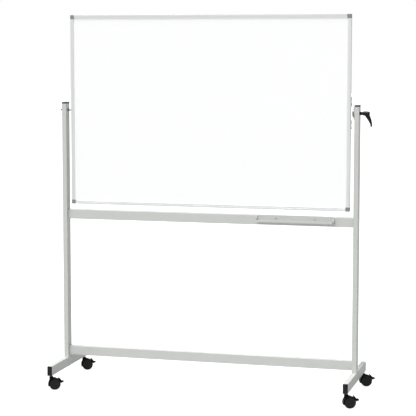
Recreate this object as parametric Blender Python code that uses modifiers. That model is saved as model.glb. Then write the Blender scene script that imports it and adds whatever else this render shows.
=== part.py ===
"""Rolling, revolving whiteboard.

A double-sided board turns about a horizontal axis between two posts on a stand with four
braked twin-wheel casters, and a clamping lever on the right post holds it at any tilt.
+X runs along the board to the right, +Y to the rear, +Z up. Lengths are in metres.
"""
import math

import bmesh
import bpy

# driving dimensions
STAND_CENTRE_X = -0.024      # the lever makes the right side longer, so the box is centred here
GAP = 0.0003                 # between pieces that touch

BOARD_WIDTH = 1.500
BOARD_HEIGHT = 1.000
BOARD_DEPTH = 0.022
PIVOT_Z = 1.4595
EDGE_FACE = 0.0175           # visible width of the edge profile
EDGE_WALL = 0.003
GROOVE_HALF = 0.008          # half the groove that holds the panel
CORNER_SIZE = 0.021
CORNER_DEPTH = 0.023
CORNER_RADIUS = 0.004
SHEET = 0.0004

TUBE_WIDE = 0.050
TUBE_NARROW = 0.025
TUBE_RADIUS = 0.0025
TUBE_WALL = 0.0015
POST_X = 0.784
POST_TOP = 1.502
RAIL_HALF = 0.280
RAIL_BOTTOM = 0.077
LOWER_BAR_TOP = 0.189
UPPER_BAR_TOP = 0.929
FOOT_PLATE = 0.005
POST_CAP = 0.009
RAIL_CAP = 0.0035
PLUG_LENGTH = 0.012

TRAY_LEFT = 0.267
TRAY_RIGHT = 0.673
TRAY_REACH = 0.0405
TRAY_FLOOR_Z = 0.896
TRAY_LIP = 0.012
TRAY_WALL = 0.0025
TRAY_CORNER = 0.008
TRAY_SHOULDER = 0.020        # how far the end walls' slope runs forwards from the back plate

PIVOT_R = 0.004              # pivot pin and clamp bolt shanks
CLEAR_R = PIVOT_R + GAP      # holes round them
BUSH_R = 0.0055
BUSH_DEPTH = 0.0255
BOLT_HEX_R = 0.0075          # over the corners of the hexagon heads and nuts
BRACKET_PLATE = 0.002
BRACKET_WIDTH = 0.020
BRACKET_RISE = 0.0162        # from the board's edge to the inside of the bracket's crown
BRACKET_FOOT = 0.082         # from the pivot to the ends of the bracket's two feet
HEAD_R = 0.022               # the clamp bolt's domed head
HEAD_DOME = 0.0087
WASHER_R = 0.019
LIFT = 0.004                 # travel of the lever handle
LEVER_NECK_R = 0.0085
LEVER_CORE_R = 0.0055        # the insert inside the handle
LEVER_HUB_R = 0.0112
LEVER_SCREW_R = 0.002
LEVER_REACH = 0.0502         # from the post to the end of the hub
LEVER_BALL_R = 0.0049

WHEEL_R = 0.030
WHEEL_WIDTH = 0.0115
WHEEL_GAP = 0.010
WHEEL_FLAT = 0.0270          # radius of the wheels' flat outer face
TRAIL = 0.0185
STEM_Y = 0.254
STEM_R = 0.005               # the thread in the rail
STEM_PIN_R = 0.003           # the pin the housing turns on
COLLAR_R = 0.006
CASTER_TURN = math.radians(20)
AXLE_R = 0.003
AXLE_LENGTH = 0.026
HUB_BORE_DEPTH = 0.0085      # how far the axle reaches into a wheel
HOOD_INNER = 0.0308
HOOD_OUTER = 0.0322
HOOD_OFFSET = (-0.0034, 0.0003)   # the outer arc's centre from the wheel's, so its back is thicker
HOOD_START = math.radians(84)
HOOD_END = math.radians(202)
WEB_R = 0.0314
WEB_HALF = 0.0022
NECK_R = 0.0105
NECK_TOP = 0.071
COLUMN_R = 0.0046            # the pin's bearing between the wheels
COLUMN_BOTTOM = 0.0405
PEDAL_PIVOT = (0.018, 0.0165)   # from the wheel centre, along the trail and up
PEDAL_PIN_R = 0.003
PEDAL_EYE_R = 0.005
PEDAL_INNER_R = 0.0314
PEDAL_WIDTH = 0.028
EAR_PLATE = 0.002

ALONG_X = (math.pi / 2, 0, math.pi / 2)
ALONG_Y = (math.pi / 2, 0, 0)
ALONG_BACK_Y = (-math.pi / 2, 0, 0)
ALONG_Z = (0, 0, 0)

FINISHES = {                 # colour, roughness, metallic
    "grey_paint": ((0.58, 0.59, 0.56), 0.40, 0.0),
    "black_plastic": ((0.018, 0.018, 0.018), 0.45, 0.0),
    "dark_plastic": ((0.09, 0.09, 0.09), 0.50, 0.0),
    "grey_plastic": ((0.19, 0.23, 0.22), 0.50, 0.0),
    "tray_plastic": ((0.52, 0.53, 0.51), 0.38, 0.0),
    "aluminium": ((0.74, 0.74, 0.75), 0.32, 1.0),
    "white_enamel": ((0.95, 0.95, 0.95), 0.12, 0.0),
    "core_board": ((0.55, 0.45, 0.32), 0.90, 0.0),
    "nylon": ((0.85, 0.85, 0.82), 0.50, 0.0),
    "zinc": ((0.36, 0.34, 0.30), 0.35, 1.0),
    "friction_fibre": ((0.36, 0.32, 0.29), 0.80, 0.0),
}


# ---- scene and helpers ----

def clear_scene():
    for obj in list(bpy.data.objects):
        bpy.data.objects.remove(obj, do_unlink=True)


def new_collection(name):
    collection = bpy.data.collections.new(name)
    bpy.context.scene.collection.children.link(collection)
    return collection


def new_empty(name, location, turn=0.0, parent=None):
    """A guide that carries moving pieces on their joint's axis."""
    empty = bpy.data.objects.new(name, None)
    PARTS.objects.link(empty)
    empty.empty_display_size = 0.02
    empty.location = location
    empty.rotation_euler = (0, 0, turn)
    empty.parent = parent
    return empty


def paint(obj, finish):
    colour, roughness, metallic = FINISHES[finish]
    material = bpy.data.materials.new(obj.name + "_finish")
    material.use_nodes = True
    shader = material.node_tree.nodes["Principled BSDF"]
    shader.inputs["Base Color"].default_value = (*colour, 1.0)
    shader.inputs["Roughness"].default_value = roughness
    shader.inputs["Metallic"].default_value = metallic
    obj.data.materials.append(material)


def add_object(name, mesh, centre, turn, parent, finish):
    """Link a mesh as a part, or as a cutter when it has no finish."""
    obj = bpy.data.objects.new(name, mesh)
    obj.location = centre
    obj.rotation_euler = turn
    obj.parent = parent
    if finish:
        PARTS.objects.link(obj)
        paint(obj, finish)
    else:
        CUTTERS.objects.link(obj)
        obj.hide_render = True
        obj.display_type = 'WIRE'
    return obj


def smooth(mesh, angle=35):
    mesh.shade_smooth()
    mesh.set_sharp_from_angle(angle=math.radians(angle))


def box(name, size, centre, parent, finish=None):
    work = bmesh.new()
    bmesh.ops.create_cube(work, size=1.0)
    bmesh.ops.scale(work, vec=size, verts=work.verts)
    mesh = bpy.data.meshes.new(name)
    work.to_mesh(mesh)
    work.free()
    return add_object(name, mesh, centre, ALONG_Z, parent, finish)


def cylinder(name, radius, length, centre, turn, parent, finish=None, sides=16):
    work = bmesh.new()
    bmesh.ops.create_cone(work, cap_ends=True, segments=sides, radius1=radius,
                          radius2=radius, depth=length)
    mesh = bpy.data.meshes.new(name)
    work.to_mesh(mesh)
    work.free()
    smooth(mesh)
    return add_object(name, mesh, centre, turn, parent, finish)


def extruded(name, outlines, length, centre, turn, parent, finish=None):
    """Closed flat outlines, the first outside and the rest holes, extruded about their plane."""
    curve = bpy.data.curves.new(name, 'CURVE')
    curve.dimensions = '2D'
    curve.fill_mode = 'BOTH'
    curve.extrude = length / 2
    for outline in outlines:
        spline = curve.splines.new('POLY')
        spline.points.add(len(outline) - 1)
        for point, (x, y) in zip(spline.points, outline):
            point.co = (x, y, 0, 1)
        spline.use_cyclic_u = True
    drawn = bpy.data.objects.new(name + "_outline", curve)
    CUTTERS.objects.link(drawn)
    mesh = bpy.data.meshes.new_from_object(drawn.evaluated_get(
        bpy.context.evaluated_depsgraph_get()))
    bpy.data.objects.remove(drawn)
    bpy.data.curves.remove(curve)
    work = bmesh.new()
    work.from_mesh(mesh)
    bmesh.ops.remove_doubles(work, verts=work.verts, dist=0.00001)
    work.to_mesh(mesh)
    work.free()
    mesh.name = name
    return add_object(name, mesh, centre, turn, parent, finish)


def turned(name, profile, centre, turn, parent, finish, steps=16, closed=False):
    """A profile of (radius, height) points, top to bottom, turned about its own Z axis."""
    count = len(profile)
    edges = [(i, i + 1) for i in range(count - 1)]
    if closed:
        edges.append((count - 1, 0))
    mesh = bpy.data.meshes.new(name)
    mesh.from_pydata([(r, 0, z) for r, z in profile], edges, [])
    obj = add_object(name, mesh, centre, turn, parent, finish)
    screw = obj.modifiers.new("turn", 'SCREW')
    screw.steps = steps
    screw.render_steps = steps
    screw.use_merge_vertices = True
    screw.merge_threshold = 0.00001
    screw.use_smooth_shade = True
    return obj


def boolean(target, tool, operation):
    modifier = target.modifiers.new(tool.name, 'BOOLEAN')
    modifier.operation = operation
    modifier.solver = 'EXACT'
    modifier.object = tool
    return target


def cut(target, tool):
    return boolean(target, tool, 'DIFFERENCE')


def join(target, tool):
    return boolean(target, tool, 'UNION')


def arc(radius, start, end, count, centre=(0, 0)):
    """Points along an arc, angles in radians."""
    return [(centre[0] + radius * math.cos(start + (end - start) * i / (count - 1)),
             centre[1] + radius * math.sin(start + (end - start) * i / (count - 1)))
            for i in range(count)]


def rounded(width, height, radius, count=4):
    """A rectangle with round corners, about its centre."""
    x, y = width / 2 - radius, height / 2 - radius
    points = []
    for quarter, (cx, cy) in enumerate(((x, y), (-x, y), (-x, -y), (x, -y))):
        start = quarter * math.pi / 2
        points += arc(radius, start, start + math.pi / 2, count, (cx, cy))
    return points


def tube_outlines(width, height):
    inner = rounded(width - 2 * TUBE_WALL, height - 2 * TUBE_WALL, TUBE_RADIUS - TUBE_WALL)
    return [rounded(width, height, TUBE_RADIUS), inner]


# ---- stand ----

def add_post(side, sign, parent):
    """An upright tube with a welded foot plate and the pivot holes near its top."""
    bottom = RAIL_BOTTOM + TUBE_WIDE + GAP
    top = POST_TOP - POST_CAP - GAP
    middle = (sign * POST_X, 0, (bottom + top) / 2)
    post = extruded("post_" + side, tube_outlines(TUBE_NARROW, TUBE_WIDE), top - bottom,
                    middle, ALONG_Z, parent, "grey_paint")
    plate = extruded("foot_plate_" + side,
                     [rounded(TUBE_NARROW - TUBE_WALL, TUBE_WIDE - TUBE_WALL, TUBE_RADIUS - TUBE_WALL)],
                     FOOT_PLATE, (sign * POST_X, 0, bottom + FOOT_PLATE / 2), ALONG_Z, parent)
    bolt_hole = cylinder("foot_hole_" + side, CLEAR_R, 4 * FOOT_PLATE,
                         (sign * POST_X, 0, bottom), ALONG_Z, parent)
    pin_hole = cylinder("pin_hole_" + side, CLEAR_R, 2 * TUBE_NARROW,
                        (sign * POST_X, 0, PIVOT_Z), ALONG_X, parent)
    cut(cut(join(post, plate), bolt_hole), pin_hole)


def add_cap(name, flange, centre, turn, parent, finish):
    """A plug for a tube's end: a flange as large as the tube and a plug inside it."""
    cap = extruded(name, [rounded(TUBE_NARROW, TUBE_WIDE, TUBE_RADIUS)], flange,
                   centre, turn, parent, finish)
    bevel = cap.modifiers.new("soft_edge", 'BEVEL')
    bevel.width = 0.0008
    bevel.segments = 1
    bevel.limit_method = 'ANGLE'
    bevel.angle_limit = math.radians(60)
    inset = 2 * TUBE_WALL + 2 * GAP
    plug = extruded(name + "_plug",
                    [rounded(TUBE_NARROW - inset, TUBE_WIDE - inset, TUBE_RADIUS - TUBE_WALL - GAP)],
                    PLUG_LENGTH, (0, 0, -PLUG_LENGTH / 2), ALONG_Z, None)
    plug.parent = cap
    join(cap, plug)


def add_rail(side, sign, parent):
    """A foot rail with holes for two caster stems and the post bolt, and its two end caps."""
    middle_z = RAIL_BOTTOM + TUBE_WIDE / 2
    half = RAIL_HALF - RAIL_CAP - GAP
    rail = extruded("foot_rail_" + side, tube_outlines(TUBE_NARROW, TUBE_WIDE), 2 * half,
                    (sign * POST_X, 0, middle_z), ALONG_Y, parent, "grey_paint")
    for end, place in (("front", -1), ("rear", 1)):
        hole = cylinder(f"stem_hole_{side}_{end}", STEM_R + GAP, TUBE_NARROW,
                        (sign * POST_X, place * STEM_Y, RAIL_BOTTOM), ALONG_Z, parent)
        cut(rail, hole)
        turn = ALONG_Y if end == "front" else ALONG_BACK_Y
        add_cap(f"rail_cap_{side}_{end}", RAIL_CAP,
                (sign * POST_X, place * (RAIL_HALF - RAIL_CAP / 2), middle_z), turn, parent,
                "black_plastic")
    bolt_hole = cylinder("rail_bolt_hole_" + side, CLEAR_R, 2 * TUBE_WIDE,
                         (sign * POST_X, 0, middle_z), ALONG_Z, parent)
    cut(rail, bolt_hole)


def add_post_bolt(side, sign, parent):
    """A hexagon bolt from under the rail up into the post's foot plate."""
    head_height, beyond_plate = 0.0053, 0.012
    top = RAIL_BOTTOM + TUBE_WIDE + FOOT_PLATE + beyond_plate
    bolt = cylinder("post_bolt_" + side, BOLT_HEX_R, head_height,
                    (sign * POST_X, 0, RAIL_BOTTOM - GAP - head_height / 2), ALONG_Z, parent,
                    "zinc", sides=6)
    start = RAIL_BOTTOM - GAP - head_height / 2
    shank = cylinder("post_bolt_shank_" + side, PIVOT_R, top - start,
                     (sign * POST_X, 0, (top + start) / 2), ALONG_Z, parent)
    join(bolt, shank)


def add_crossbar(name, top, parent):
    length = 2 * (POST_X - TUBE_NARROW / 2 - GAP)
    extruded(name, tube_outlines(TUBE_NARROW, TUBE_WIDE), length,
             (0, 0, top - TUBE_WIDE / 2), ALONG_X, parent, "grey_paint")


def tray_plan(inset):
    """The tray seen from above, its two front corners rounded."""
    back = -TUBE_NARROW / 2 - GAP - inset
    front = -TUBE_NARROW / 2 - GAP - TRAY_REACH + inset
    left, right = TRAY_LEFT + inset, TRAY_RIGHT - inset
    radius = TRAY_CORNER - inset
    plan = [(right, back), (left, back)]
    plan += arc(radius, math.pi, 1.5 * math.pi, 4, (left + radius, front + radius))
    plan += arc(radius, 1.5 * math.pi, 2 * math.pi, 4, (right - radius, front + radius))
    return plan


def add_pen_tray(parent):
    """A moulded tray: high back plate, floor, low front lip and end walls that slope between."""
    height = UPPER_BAR_TOP - TRAY_FLOOR_Z
    tray = extruded("pen_tray", [tray_plan(0)], height,
                    (0, 0, TRAY_FLOOR_Z + height / 2), ALONG_Z, parent, "tray_plastic")
    hollow = extruded("tray_hollow", [tray_plan(TRAY_WALL)], height,
                      (0, 0, TRAY_FLOOR_Z + height / 2 + TRAY_WALL), ALONG_Z, parent)
    clear = 0.010
    back = -TUBE_NARROW / 2 - GAP - TRAY_WALL
    front = -TUBE_NARROW / 2 - TRAY_REACH - clear
    lip_top = TRAY_FLOOR_Z + TRAY_LIP
    shoulder_top = lip_top + 0.009
    above = UPPER_BAR_TOP + clear
    slope = [(back, UPPER_BAR_TOP + GAP), (back - TRAY_SHOULDER, shoulder_top), (front, lip_top),
             (front, above), (back, above)]
    rim = extruded("tray_rim", [slope], 2 * BOARD_WIDTH, (0, 0, 0), ALONG_X, parent)
    cut(cut(tray, hollow), rim)


def add_pivot_pin(parent):
    """The left pivot: a pin with a collar inside the post and a nut outside it."""
    inner_face = -POST_X + TUBE_NARROW / 2
    outer_face = -POST_X - TUBE_NARROW / 2
    in_board, beyond_post = 0.022, 0.0145
    inner_end, outer_end = -BOARD_WIDTH / 2 + in_board, outer_face - beyond_post
    collar_r, collar = 0.007, 0.0025
    chamfer = 0.001
    profile = [(0, inner_end), (PIVOT_R, inner_end),
               (PIVOT_R, inner_face + GAP + collar), (collar_r, inner_face + GAP + collar),
               (collar_r, inner_face + GAP), (PIVOT_R, inner_face + GAP),
               (PIVOT_R, outer_end + chamfer), (PIVOT_R - chamfer, outer_end), (0, outer_end)]
    turned("pivot_pin", profile, (0, 0, PIVOT_Z), ALONG_X, parent, "zinc")
    nut = 0.0065
    hexagon = arc(BOLT_HEX_R, 0, math.tau * 5 / 6, 6)
    bore = arc(CLEAR_R, 0, math.tau * 15 / 16, 16)
    extruded("pivot_nut", [hexagon, bore], nut, (outer_face - GAP - nut / 2, 0, PIVOT_Z),
             ALONG_X, parent, "zinc")


def add_stand(parent):
    for side, sign in (("left", -1), ("right", 1)):
        add_post(side, sign, parent)
        add_cap("post_cap_" + side, POST_CAP, (sign * POST_X, 0, POST_TOP - POST_CAP / 2),
                ALONG_Z, parent, "dark_plastic")
        add_rail(side, sign, parent)
        add_post_bolt(side, sign, parent)
    add_crossbar("crossbar_upper", UPPER_BAR_TOP, parent)
    add_crossbar("crossbar_lower", LOWER_BAR_TOP, parent)
    add_pen_tray(parent)
    add_pivot_pin(parent)


# ---- board ----

def edge_section(sign):
    """The edge profile's channel, its back at zero and its groove opening towards sign."""
    half, soft = BOARD_DEPTH / 2, 0.0015
    points = [(soft, -half), (EDGE_FACE, -half), (EDGE_FACE, -GROOVE_HALF),
              (EDGE_WALL, -GROOVE_HALF), (EDGE_WALL, GROOVE_HALF), (EDGE_FACE, GROOVE_HALF),
              (EDGE_FACE, half), (soft, half), (0, half - soft), (0, soft - half)]
    return [(sign * s, depth) for s, depth in points]


def add_edges(parent):
    length_z = BOARD_HEIGHT - 2 * (CORNER_SIZE + GAP)
    length_x = BOARD_WIDTH - 2 * (CORNER_SIZE + GAP)
    for name, sign in (("left", 1), ("right", -1)):
        profile = extruded("edge_" + name, [edge_section(sign)], length_z,
                           (-sign * BOARD_WIDTH / 2, 0, 0), ALONG_Z, parent, "aluminium")
        if name == "left":
            hole = cylinder("bush_hole", BUSH_R + GAP, 4 * EDGE_WALL,
                            (-BOARD_WIDTH / 2, 0, 0), ALONG_X, parent)
            cut(profile, hole)
    for name, sign in (("bottom", 1), ("top", -1)):
        section = [(depth, s) for s, depth in edge_section(sign)]
        extruded("edge_" + name, [section], length_x, (0, 0, -sign * BOARD_HEIGHT / 2),
                 ALONG_X, parent, "aluminium")


def add_panel(parent):
    """Two enamelled sheets on a core, let into the grooves of the edge profiles."""
    inset = 2 * (EDGE_WALL + 0.001)   # the panel stops short of the groove's floor
    width, height = BOARD_WIDTH - inset, BOARD_HEIGHT - inset
    sheet_y = GROOVE_HALF - GAP - SHEET / 2
    core = 2 * (GROOVE_HALF - 2 * GAP - SHEET)
    box("sheet_front", (width, SHEET, height), (0, -sheet_y, 0), parent, "white_enamel")
    box("sheet_rear", (width, SHEET, height), (0, sheet_y, 0), parent, "white_enamel")
    board = box("board_core", (width, core, height), (0, 0, 0), parent, "core_board")
    bore = cylinder("core_bore", BUSH_R + GAP, 2 * (BUSH_DEPTH + CORNER_RADIUS),
                    (-BOARD_WIDTH / 2, 0, 0), ALONG_X, parent)
    cut(board, bore)
    return width, height


def add_corners(width, height, parent):
    """Plastic corner pieces: square, rounded outside, slotted for the panel."""
    half, radius = CORNER_SIZE / 2, CORNER_RADIUS
    slot = (width + 2 * GAP, 2 * GROOVE_HALF, height + 2 * GAP)
    for name, sx, sz in (("top_left", -1, 1), ("top_right", 1, 1),
                         ("bottom_left", -1, -1), ("bottom_right", 1, -1)):
        outline = [(-half * sx, half * sz), (-half * sx, -half * sz), (half * sx, -half * sz)]
        outline += [(sx * x, sz * z) for x, z in
                    arc(radius, 0, math.pi / 2, 4, (half - radius, half - radius))]
        corner = extruded("corner_" + name, [outline], CORNER_DEPTH,
                          (sx * (BOARD_WIDTH / 2 - half), 0, sz * (BOARD_HEIGHT / 2 - half)),
                          ALONG_Y, parent, "grey_plastic")
        cut(corner, box("slot_" + name, slot, (0, 0, 0), parent))


def add_bush(parent):
    """The flanged bush in the left edge that turns on the pivot pin."""
    face = -BOARD_WIDTH / 2 - GAP
    flange_r, flange = 0.009, 0.0014
    inner = face + BUSH_DEPTH
    profile = [(BUSH_R, inner), (BUSH_R, face), (flange_r, face), (flange_r, face - flange),
               (CLEAR_R, face - flange), (CLEAR_R, inner)]
    turned("pivot_bush", profile, (0, 0, 0), ALONG_X, parent, "nylon", closed=True)


def add_bracket(parent):
    """The hat-shaped bracket on the right edge and the clamp bolt whose head it holds."""
    bend, crown, thinning = 0.0365, 0.0305, 0.001
    low, high = BOARD_WIDTH / 2 + GAP, BOARD_WIDTH / 2 + BRACKET_RISE
    outer = [(low + BRACKET_PLATE, BRACKET_FOOT), (low + BRACKET_PLATE, bend),
             (high + BRACKET_PLATE, crown)]
    inner = [(low, BRACKET_FOOT), (low, bend - thinning), (high, crown - thinning)]
    outline = outer + [(x, -z) for x, z in reversed(outer)]
    outline += [(x, -z) for x, z in inner] + list(reversed(inner))
    bracket = extruded("pivot_bracket", [outline], BRACKET_WIDTH, (0, 0, 0), ALONG_Y, parent,
                       "grey_paint")
    cut(bracket, cylinder("bracket_hole", CLEAR_R, 4 * BRACKET_PLATE, (high, 0, 0), ALONG_X, parent))
    head_face = high - GAP
    beyond_post = 0.0255
    tip = POST_X + TUBE_NARROW / 2 + beyond_post
    rim, shoulder, brow = 0.0012, (0.77, 0.63), (0.42, 0.92)
    profile = [(0, tip), (PIVOT_R, tip), (PIVOT_R, head_face), (HEAD_R, head_face),
               (HEAD_R, head_face - rim)]
    for across, down in (shoulder, brow, (0, 1)):
        profile.append((across * HEAD_R, head_face - down * HEAD_DOME))
    turned("clamp_bolt", profile, (0, 0, 0), ALONG_X, parent, "zinc")
    return high + BRACKET_PLATE


def add_friction_washer(left_face, parent):
    right_face = POST_X - TUBE_NARROW / 2 - GAP
    left_face += GAP
    profile = [(WASHER_R, right_face), (WASHER_R, left_face), (CLEAR_R, left_face),
               (CLEAR_R, right_face)]
    turned("friction_washer", profile, (0, 0, PIVOT_Z), ALONG_X, parent, "friction_fibre",
           closed=True)


# ---- clamping lever ----

def add_lever(parent):
    """Threaded insert on the clamp bolt, the handle that engages its teeth, and its screw."""
    face = POST_X + TUBE_NARROW / 2 + GAP
    neck_end, core_end = face + 0.0170, face + 0.0352
    bolt_bore_end, screw_bore_end = face + 0.0267, face + 0.0292
    insert = [(0, screw_bore_end), (LEVER_SCREW_R + GAP, screw_bore_end),
              (LEVER_SCREW_R + GAP, core_end), (LEVER_CORE_R, core_end), (LEVER_CORE_R, neck_end),
              (LEVER_NECK_R, neck_end), (LEVER_NECK_R, face), (CLEAR_R, face),
              (CLEAR_R, bolt_bore_end), (0, bolt_bore_end)]
    turned("clamp_insert", insert, (0, 0, 0), ALONG_X, parent, "black_plastic")

    hub_start, hub_end, chamfer = neck_end + GAP, face + LEVER_REACH, 0.001
    dome = ((0.52, 0), (0.76, 0.0016), (0.92, 0.0048), (1, 0.0105))   # of the radius, from the end
    hub = [(0, hub_end)]
    hub += [(share * LEVER_HUB_R, hub_end - back) for share, back in dome]
    hub += [(LEVER_HUB_R, hub_start + chamfer), (LEVER_HUB_R - chamfer, hub_start), (0, hub_start)]
    handle = turned("clamp_handle", hub, (0, 0, 0), ALONG_X, parent, "black_plastic")
    # the arm's two sides from the hub down to the ball, measured from the post's face
    inner_side = ((0.0237, -0.0118), (0.0342, -0.0235), (0.0437, -0.0375), (0.0520, -0.0530))
    outer_side = ((0.0626, -0.0530), (0.0602, -0.0390), (0.0547, -0.0207), (0.0476, -0.0060),
                  (0.0420, -0.0030), (0.0230, -0.0030))
    ball = (face + 0.0577, -0.0620)
    outline = [(face + x, z) for x, z in inner_side]
    outline += arc(LEVER_BALL_R, math.radians(170), math.radians(365), 7, ball)
    outline += [(face + x, z) for x, z in outer_side]
    arm = extruded("clamp_arm", [outline], 0.009, (0, 0, 0), ALONG_Y, parent)
    bore_end = core_end + 2 * GAP
    wall, recess_r, deep = 0.0045, 0.0044, 0.030
    bore_length = bore_end - hub_start + chamfer
    bore = cylinder("handle_bore", LEVER_CORE_R + GAP, bore_length,
                    (bore_end - bore_length / 2, 0, 0), ALONG_X, parent)
    hole = cylinder("handle_hole", LEVER_SCREW_R + 2 * GAP, deep, (bore_end, 0, 0), ALONG_X, parent)
    recess = cylinder("handle_recess", recess_r, deep, (bore_end + wall + deep / 2, 0, 0), ALONG_X,
                      parent)
    cut(cut(cut(join(handle, arm), bore), hole), recess)

    head_r, head, edge = 0.0038, 0.0040, 0.0006
    start = bore_end + wall + LIFT + 2 * GAP
    screw = [(0, start + head), (head_r - edge, start + head), (head_r, start + head - edge),
             (head_r, start), (LEVER_SCREW_R, start), (LEVER_SCREW_R, screw_bore_end + GAP),
             (0, screw_bore_end + GAP)]
    turned("clamp_screw", screw, (0, 0, 0), ALONG_X, parent, "zinc", steps=12)


# ---- casters ----

def add_stem(name, parent):
    """Threaded stem, fixed in the rail, with the collar and the pin that the housing turns on."""
    top = RAIL_BOTTOM + 0.030
    pin_end = COLUMN_BOTTOM + 0.004
    profile = [(0, top), (STEM_R, top), (STEM_R, RAIL_BOTTOM - GAP), (COLLAR_R, RAIL_BOTTOM - GAP),
               (COLLAR_R, NECK_TOP + GAP), (STEM_PIN_R, NECK_TOP + GAP), (STEM_PIN_R, pin_end),
               (0, pin_end)]
    turned(name + "_stem", profile, (0, 0, 0), ALONG_Z, parent, "zinc", steps=12)


def add_housing(name, parent):
    """Hood over the back of both wheels, a web between them, and the neck round the stem's pin."""
    centre = (TRAIL, 0, WHEEL_R)
    width = WHEEL_GAP + 2 * WHEEL_WIDTH
    hood = arc(HOOD_OUTER, HOOD_START, HOOD_END, 9, HOOD_OFFSET)
    hood += arc(HOOD_INNER, HOOD_END, HOOD_START, 9)
    housing = extruded(name + "_housing", [hood], width, centre, ALONG_Y, parent, "black_plastic")

    neck_bottom = WHEEL_R + HOOD_INNER / 3
    neck = cylinder(name + "_neck", NECK_R, NECK_TOP - neck_bottom,
                    (0, 0, (NECK_TOP + neck_bottom) / 2), ALONG_Z, parent)
    wheel_room = cylinder(name + "_wheel_room", WEB_R, 2 * width, centre, ALONG_Y, parent, sides=40)
    cut(neck, wheel_room)
    column_top = NECK_TOP - 0.002
    column = cylinder(name + "_column", COLUMN_R, column_top - COLUMN_BOTTOM,
                      (0, 0, (column_top + COLUMN_BOTTOM) / 2), ALONG_Z, parent)

    web = arc(WEB_R, HOOD_START, HOOD_END, 9)
    web += arc(0.011, math.radians(205), math.radians(330), 5)
    web += arc(PEDAL_EYE_R, math.radians(-60), math.radians(60), 4, PEDAL_PIVOT)
    web_plate = extruded(name + "_web", [web], 2 * WEB_HALF, centre, ALONG_Y, parent)
    boss = cylinder(name + "_boss", PEDAL_PIN_R, WHEEL_GAP - 0.0014,
                    (TRAIL + PEDAL_PIVOT[0], 0, WHEEL_R + PEDAL_PIVOT[1]), ALONG_Y, parent, sides=12)
    for piece in (neck, column, web_plate, boss):
        join(housing, piece)

    axle_hole = cylinder(name + "_axle_hole", AXLE_R + GAP, WHEEL_GAP, centre, ALONG_Y, parent)
    bore_start, bore_end = COLUMN_BOTTOM + 0.0035, NECK_TOP + GAP
    stem_bore = cylinder(name + "_stem_bore", STEM_PIN_R + GAP, bore_end - bore_start,
                         (0, 0, (bore_end + bore_start) / 2), ALONG_Z, parent, sides=12)
    cut(cut(housing, axle_hole), stem_bore)


def add_wheels(name, parent):
    """The axle and the two wheels, each with a flat outer face and a rounded shoulder."""
    centre = (TRAIL, 0, WHEEL_R)
    bore = AXLE_R + GAP
    outer, inner = WHEEL_WIDTH, 0.0004
    profile = [(0, outer), (WHEEL_FLAT, outer), (0.0286, outer - 0.0007), (0.0295, outer - 0.0020),
               (WHEEL_R, outer - 0.0036), (WHEEL_R, inner), (bore, inner), (bore, HUB_BORE_DEPTH),
               (0, HUB_BORE_DEPTH)]
    cylinder(name + "_axle", AXLE_R, AXLE_LENGTH, centre, ALONG_Y, parent, "zinc", sides=12)
    for place, sign, turn in (("front", -1, ALONG_Y), ("rear", 1, ALONG_BACK_Y)):
        turned(f"{name}_wheel_{place}", profile, (TRAIL, sign * WHEEL_GAP / 2, WHEEL_R), turn,
               parent, "black_plastic", steps=24)


def add_pedal(name, parent):
    """The brake pedal: a curved shoe over both treads, a toe, and two ears on the web's boss."""
    pivot_x, pivot_z = PEDAL_PIVOT
    place = (TRAIL + pivot_x, 0, WHEEL_R + pivot_z)

    def from_pivot(points):
        return [(x - pivot_x, z - pivot_z) for x, z in points]

    # from the wheel's centre: the shoe's top corner, its back, the toe, then the inner arc
    shoe = [(0.0195, 0.0328), (0.0283, 0.0245), (0.0333, 0.0172), (0.0350, 0.0150),
            (0.0457, 0.0145), (0.0460, 0.0108), (0.0400, 0.0092), (0.0350, 0.0062)]
    shoe += arc(PEDAL_INNER_R, math.radians(12), math.radians(58), 6)
    pedal = extruded(name + "_pedal", [from_pivot(list(reversed(shoe)))], PEDAL_WIDTH, place,
                     ALONG_Y, parent, "black_plastic")
    ear = arc(PEDAL_EYE_R, math.radians(125), math.radians(305), 7, PEDAL_PIVOT)
    ear += [(0.0312, 0.0120), (0.0206, 0.0262)]
    ear_y = WEB_HALF + GAP + EAR_PLATE / 2
    for number, sign in enumerate((-1, 1)):
        plate = extruded(f"{name}_ear_{number}", [from_pivot(ear)], EAR_PLATE,
                         (place[0], sign * ear_y, place[2]), ALONG_Y, parent)
        join(pedal, plate)
    hole = cylinder(name + "_ear_hole", PEDAL_PIN_R + GAP, WHEEL_GAP, place, ALONG_Y, parent, sides=12)
    cut(pedal, hole)


def add_casters(parent):
    for side, sx in (("left", -1), ("right", 1)):
        for end, sy in (("front", -1), ("rear", 1)):
            name = f"caster_{end}_{side}"
            swivel = new_empty(name + "_axis", (sx * POST_X, sy * STEM_Y, 0), CASTER_TURN, parent)
            add_stem(name, swivel)
            add_housing(name, swivel)
            add_wheels(name, swivel)
            add_pedal(name, swivel)


clear_scene()
PARTS = new_collection("rolling_whiteboard")
CUTTERS = new_collection("cutters")
stand = new_empty("stand_centre", (STAND_CENTRE_X, 0, 0))
board_axis = new_empty("board_axis", (0, 0, PIVOT_Z), parent=stand)
add_stand(stand)
add_edges(board_axis)
panel_width, panel_height = add_panel(board_axis)
add_corners(panel_width, panel_height, board_axis)
add_bush(board_axis)
bracket_face = add_bracket(board_axis)
add_friction_washer(bracket_face, stand)
add_lever(board_axis)
add_casters(stand)
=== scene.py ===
import math

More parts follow.
